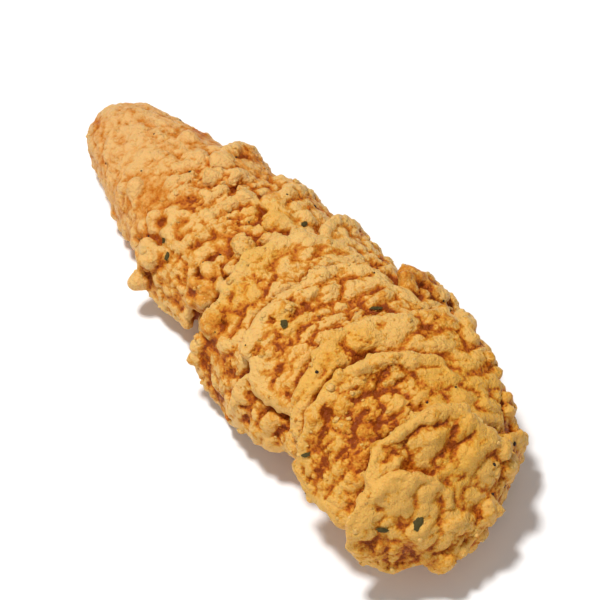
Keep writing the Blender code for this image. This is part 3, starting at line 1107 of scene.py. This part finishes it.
def make_grains(crust):
    """Loose grains of batter that sit on the crust in clusters, clear of the floor."""
    skin = crust.data
    values = [kept_value(skin, name) for name in ("depth", "calm", "tip", "lip")]
    faces = list(skin.polygons)
    areas = [face.area for face in faces]
    pile = Pile()
    depths, tips = [], []
    for seed, draws, least, most, fine in GRAINS:
        draw = random.Random(seed)
        spacing = Spacing(3 * most)
        for count, face in enumerate(draw.choices(faces, areas, k=draws)):
            spot, normal = face.center.copy(), face.normal.copy()
            depth, calm, tip, lip = [float(column[face.vertices[0]]) for column in values]
            radius, radii, heading, lift, tone = draw_grain(draw, least, most)
            chance = grain_chance(spot, depth, calm, tip, lip)
            if draw.random() > chance or spacing.crowded(spot, radius, GRAIN_GAP):
                continue
            spacing.take(spot, radius)
            lay = stand_on(spot, normal, heading)
            add_crumb(lay, (0, 0, lift), radii, count, pile, fine, uneven=GRAIN_UNEVENNESS)
            added = len(pile.points) - len(depths)
            depths.extend([GRAIN_DEPTH * depth + tone] * added)
            tips.extend([tip] * added)
    mesh = pile.mesh("crumbs")
    move_points(mesh, np.clip(points_of(mesh), *CAD_BOX))
    keep_value(mesh, "depth", np.array(depths))
    keep_value(mesh, "tip", np.array(tips))
    mesh.shade_smooth()
    return piece_from(mesh, "crumbs")


class Nodes:
    """A material, built up one node at a time."""

    def __init__(self, name):
        self.material = bpy.data.materials.new(name)
        self.material.use_nodes = True
        self.tree = self.material.node_tree
        self.shader = self.tree.nodes["Principled BSDF"]

    def feed(self, socket, value):
        if isinstance(value, bpy.types.NodeSocket):
            self.tree.links.new(value, socket)
        else:
            socket.default_value = value

    def add(self, kind, inputs, **settings):
        node = self.tree.nodes.new(kind)
        for key, value in settings.items():
            setattr(node, key, value)
        for key, value in inputs.items():
            self.feed(node.inputs[key], value)
        return node

    def attribute(self, name):
        return self.add("ShaderNodeAttribute", {}, attribute_name=name).outputs["Fac"]

    def noise(self, size):
        place = self.add("ShaderNodeTexCoord", {}).outputs["Object"]
        inputs = {"Vector": place, "Scale": 1 / size, "Detail": NOISE_DETAIL, "Roughness": NOISE_ROUGHNESS}
        return self.add("ShaderNodeTexNoise", inputs).outputs["Fac"]

    def ramp(self, value, low, high, top=1.0):
        """0 up to low, top from high on, and smooth between."""
        inputs = {"Value": value, "From Min": low, "From Max": high, "To Min": 0.0, "To Max": top}
        return self.add("ShaderNodeMapRange", inputs, interpolation_type="SMOOTHSTEP").outputs["Result"]

    def math(self, operation, first, second):
        return self.add("ShaderNodeMath", {0: first, 1: second}, operation=operation).outputs[0]

    def mix(self, first, second, share):
        node = self.add("ShaderNodeMix", {}, data_type="RGBA")
        self.feed(node.inputs[0], share)
        self.feed(node.inputs[6], first)
        self.feed(node.inputs[7], second)
        return node.outputs[2]

    def bump(self, layers):
        """A normal from several heights: each is the height's socket and its depth in metres."""
        normal = None
        for height, depth in layers:
            node = self.add("ShaderNodeBump", {"Height": height, "Distance": depth, "Strength": 1.0})
            if normal:
                self.feed(node.inputs["Normal"], normal)
            normal = node.outputs["Normal"]
        return normal


def paint(nodes, colour, layers):
    """Lays colours over each other: each layer is a colour and the socket of its share."""
    for over, share in layers:
        colour = nodes.mix(colour, (*over, 1), share)
    return colour


def skin_over(crust, along, around):
    """The finished crust's skin over a place on the strip: where it lies and which way it faces."""
    inner = skin_spot(along, around)
    outward = (inner - strip_middle(along)).normalized()
    return crust.ray_cast(inner + outward * CRUST_REACH, -outward)[1:3]


def strip_middle(along):
    """The middle of the strip at this distance from the tip."""
    x = along - LENGTH / 2
    _, thickness, bow = section_at(x)
    return Vector((x, bow, 0.5 * thickness - SINK))


def make_herbs(crust):
    """Thin, crumpled flakes of leaf that lie in the batter."""
    pile = Pile()
    for seed, (along, around, length, turn) in enumerate(HERBS):
        spot, normal = skin_over(crust, along, around)
        radii = (0.5 * length, 0.5 * HERB_WIDTH * length, 0.5 * HERB_THICKNESS)
        lay = stand_on(spot, normal, math.radians(turn))
        add_crumb(lay, (0, 0, HERB_LIFT), radii, HERB_SEED + seed, pile, LUMP_BALL, uneven=HERB_UNEVENNESS)
    return piece_from(pile.mesh("herb_flakes"), "herb_flakes")


def make_pepper(crust):
    """Angular specks: the ones that show, and a seeded few all round."""
    draw = random.Random(PEPPER_SEED)
    places = list(PEPPER)
    for _ in range(PEPPER_DRAWS):
        along = draw.uniform(*PEPPER_ALONG) * LENGTH
        places.append((along, draw.uniform(*PEPPER_AROUND)))
    pile = Pile()
    for seed, (along, around) in enumerate(places):
        spot, normal = skin_over(crust, along, around)
        radius = draw.uniform(*PEPPER_RADIUS) * (1 if seed < len(PEPPER) else DRAWN_SIZE)
        radii = (radius, radius * draw.uniform(*PEPPER_WIDTH), radius * draw.uniform(*PEPPER_THICKNESS))
        lay = stand_on(spot, normal, draw.uniform(-math.pi, math.pi))
        add_crumb(lay, (0, 0, 0), radii, SPECK_SEED + seed, pile, SPECK_BALL)
    return piece_from(pile.mesh("pepper_specks"), "pepper_specks")


def plain_material(name, colour, roughness, specular=0.5):
    """One colour all over."""
    nodes = Nodes(name)
    nodes.shader.inputs["Base Color"].default_value = (*colour, 1)
    nodes.shader.inputs["Roughness"].default_value = roughness
    nodes.shader.inputs["Specular IOR Level"].default_value = specular
    return nodes.material


def colour_depth(nodes, spots):
    """How deep the crust's colour is: by the painted shade in its creases, partly real browning, mottled by
    noises and shifted by the stored values.
    """
    depth = nodes.attribute("depth")
    contrast = nodes.math("SUBTRACT", CONTRAST, nodes.math("MULTIPLY", nodes.attribute("tip"), TIP_CONTRAST))
    for value, (_, weight) in zip(spots, SPOTS):
        speck = nodes.math("MULTIPLY", nodes.math("SUBTRACT", value, 0.5), weight)
        depth = nodes.math("ADD", depth, nodes.math("MULTIPLY", speck, contrast))
    for name, weight in DEPTH_WEIGHTS.items():
        depth = nodes.math("ADD", depth, nodes.math("MULTIPLY", nodes.attribute(name), weight))
    return depth


def crust_material():
    """Fried batter: mottled gold, pale on its peaks and lips, partly as painted highlight, and orange-brown
    in its creases as painted shade, partly browning where oil sat.
    """
    nodes = Nodes("fried_crust")
    spots = [nodes.noise(size) for size, _ in SPOTS]
    depth = colour_depth(nodes, spots)
    layers = []
    for colour, name, low, high, top in LAYERS:
        value = depth if name == "depth" else nodes.attribute(name)
        layers.append((colour, nodes.ramp(value, low, high, top)))
    nodes.feed(nodes.shader.inputs["Base Color"], paint(nodes, (*PALE, 1), layers))
    *_, freckles, grain = spots
    gloss = nodes.ramp(nodes.attribute("calm"), *CALM_GLOSS)
    dry = nodes.math("SUBTRACT", nodes.ramp(freckles, *DRY_FRECKLES), gloss)
    nodes.feed(nodes.shader.inputs["Roughness"], nodes.math("ADD", dry, ROUGHNESS))
    nodes.shader.inputs["IOR"].default_value = IOR
    nodes.shader.inputs["Specular IOR Level"].default_value = SPECULAR
    nodes.shader.inputs["Subsurface Weight"].default_value = SUBSURFACE
    nodes.shader.inputs["Subsurface Radius"].default_value = SUBSURFACE_RADIUS
    nodes.shader.inputs["Subsurface Scale"].default_value = SUBSURFACE_SCALE
    nodes.feed(nodes.shader.inputs["Normal"], nodes.bump(((freckles, FRECKLE_BUMP), (grain, GRAIN_BUMP))))
    return nodes.material


def make_camera():
    """The photograph's viewing angle, nearer in on this one tender."""
    camera = bpy.data.objects.new("camera", bpy.data.cameras.new("camera"))
    bpy.context.scene.collection.objects.link(camera)
    azimuth, elevation = math.radians(CAMERA_AZIMUTH), math.radians(CAMERA_ELEVATION)
    level = math.cos(elevation)
    back = Vector((math.sin(azimuth) * level, -math.cos(azimuth) * level, math.sin(elevation)))
    camera.location = Vector((0, 0, AIM_HEIGHT)) + back * CAMERA_DISTANCE
    camera.rotation_mode = "QUATERNION"
    camera.rotation_quaternion = back.to_track_quat("Z", "Y")
    camera.data.lens = CAMERA_LENS
    camera.data.clip_start = CAMERA_CLIP
    bpy.context.scene.camera = camera


def make_light(name, place, side, power):
    """A square soft light of this side, aimed at the tender."""
    light = bpy.data.objects.new(name, bpy.data.lights.new(name, "AREA"))
    light.data.size = side
    light.data.energy = power
    light.location = place
    light.rotation_mode = "QUATERNION"
    light.rotation_quaternion = Vector(place).to_track_quat("Z", "Y")
    bpy.context.scene.collection.objects.link(light)


def make_studio():
    """A pale floor and a bright, even sky, as the photograph's plain background has."""
    bpy.ops.mesh.primitive_plane_add(size=FLOOR_SIZE, location=(0, 0, -FLOOR_GAP))
    floor = bpy.context.object
    floor.name = "floor"
    floor.data.materials.append(plain_material("floor", FLOOR_COLOUR, FLOOR_ROUGHNESS))
    for light in LIGHTS:
        make_light(*light)
    world = bpy.data.worlds.new("sky")
    world.use_nodes = True
    sky = world.node_tree.nodes["Background"]
    sky.inputs["Color"].default_value = (1, 1, 1, 1)
    sky.inputs["Strength"].default_value = SKY_STRENGTH
    bpy.context.scene.world = world
    bpy.context.scene.view_settings.view_transform = "Standard"


def main():
    """Sets up the studio, then the crust and what lies in it, each piece with its material and its place."""
    make_camera()
    make_studio()
    crust = make_crust()
    batter = crust_material()
    leaf = plain_material("dried_herb", HERB_COLOUR, HERB_ROUGHNESS, SPECULAR)
    pepper = plain_material("ground_pepper", PEPPER_COLOUR, PEPPER_ROUGHNESS, SPECULAR)
    pieces = (
        (crust, batter),
        (make_grains(crust), batter),
        (make_herbs(crust), leaf),
        (make_pepper(crust), pepper),
    )
    for piece, material in pieces:
        piece.data.materials.append(material)
        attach(piece, BODY)
        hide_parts(NODE)


main()
